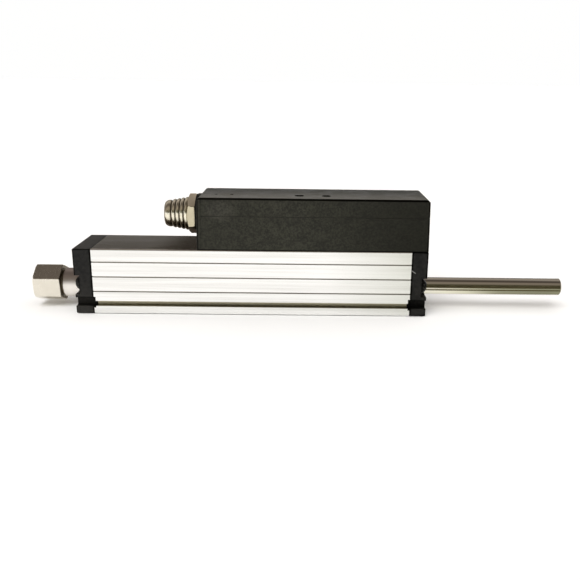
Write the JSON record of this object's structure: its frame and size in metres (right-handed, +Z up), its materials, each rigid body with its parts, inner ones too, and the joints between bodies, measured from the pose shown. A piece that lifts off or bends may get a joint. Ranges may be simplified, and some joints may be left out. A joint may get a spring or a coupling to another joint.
{
  "type": "linear position transducer",
  "caption": "Rod-type linear position transducer: a round rod slides in a square aluminium section with black end caps, and a black signal box with a cable outlet sits on its back.",
  "frame": {"origin": "middle of the section's flat underside, which rests on the machine", "axes": "+X along the rod, out of the front cap; +Y to the back; +Z up, through the signal box"},
  "size_m": [0.2461, 0.03, 0.0534],
  "materials": {
    "alloy_section": "natural anodised, satin, with fine drawing lines",
    "cap_black": "glass-filled nylon, black",
    "screw_black": "black oxide",
    "rubber_black": "moulded",
    "bush_bronze": "sintered bronze",
    "rod_steel": "ground and polished stainless steel",
    "plated_brass": "nickel-plated brass",
    "box_black": "fine-textured moulding",
    "carriage_ivory": "moulded acetal",
    "shoe_white": "low-friction pads",
    "brush_alloy": "precious-metal contact alloy",
    "track_laminate": "glass-epoxy laminate",
    "track_ink": "conductive plastic ink",
    "board_green": "solder-masked laminate",
    "small_steel": "zinc-plated steel",
    "trimmer_blue": "moulded",
    "trimmer_brass": "turned brass",
    "terminal_green": "moulded",
    "chip_black": "moulded epoxy",
    "can_aluminium": "bare can",
    "wire_red": "insulated wire"
  },
  "bodies": {
    "housing": {"extruded_body": "alloy_section", "rear_end_cap": "cap_black", "front_end_cap": "cap_black", "rear_cap_gasket": "rubber_black", "front_cap_gasket": "rubber_black", "rear_cap_screws": "screw_black", "front_cap_screws": "screw_black", "rod_bush": "bush_bronze", "rod_scraper": "rubber_black", "front_buffer": "rubber_black", "rear_buffer": "rubber_black", "track_board": "track_laminate", "track_films": "track_ink", "gland_body": "plated_brass", "gland_nut": "plated_brass", "gland_seal": "rubber_black", "box_base": "box_black", "box_lid": "box_black", "box_end_plate": "box_black", "box_fixing_screws": "small_steel", "lead_grommet": "rubber_black", "track_leads": "wire_red", "signal_board": "board_green", "board_screws": "small_steel", "zero_trimmer_body": "trimmer_blue", "span_trimmer_body": "trimmer_blue", "terminal_block": "terminal_green", "terminal_screws": "small_steel", "board_chips": "chip_black", "board_capacitors": "can_aluminium", "conduit_barb": "plated_brass", "barb_seal": "rubber_black", "barb_locknut": "plated_brass"},
    "rod": {"measuring_rod": "rod_steel", "wiper_carriage": "carriage_ivory", "carriage_pin": "small_steel", "slide_shoes": "shoe_white", "wiper_brushes": "brush_alloy"},
    "zero_screw": {"zero_trimmer_screw": "trimmer_brass"},
    "span_screw": {"span_trimmer_screw": "trimmer_brass"}
  },
  "joints": [
    {"name": "rod_slide", "type": "slide", "parent": "housing", "child": "rod", "axis": [1, 0, 0], "range_m": [-0.05, 0.05]},
    {"name": "zero_adjust", "type": "hinge", "parent": "housing", "child": "zero_screw", "pos_m": [0.0214, -0.0061, 0.0495], "axis": [0, 0, 1], "range_deg": [-135, 135]},
    {"name": "span_adjust", "type": "hinge", "parent": "housing", "child": "span_screw", "pos_m": [0.0335, -0.0061, 0.0495], "axis": [0, 0, 1], "range_deg": [-135, 135]}
  ]
}
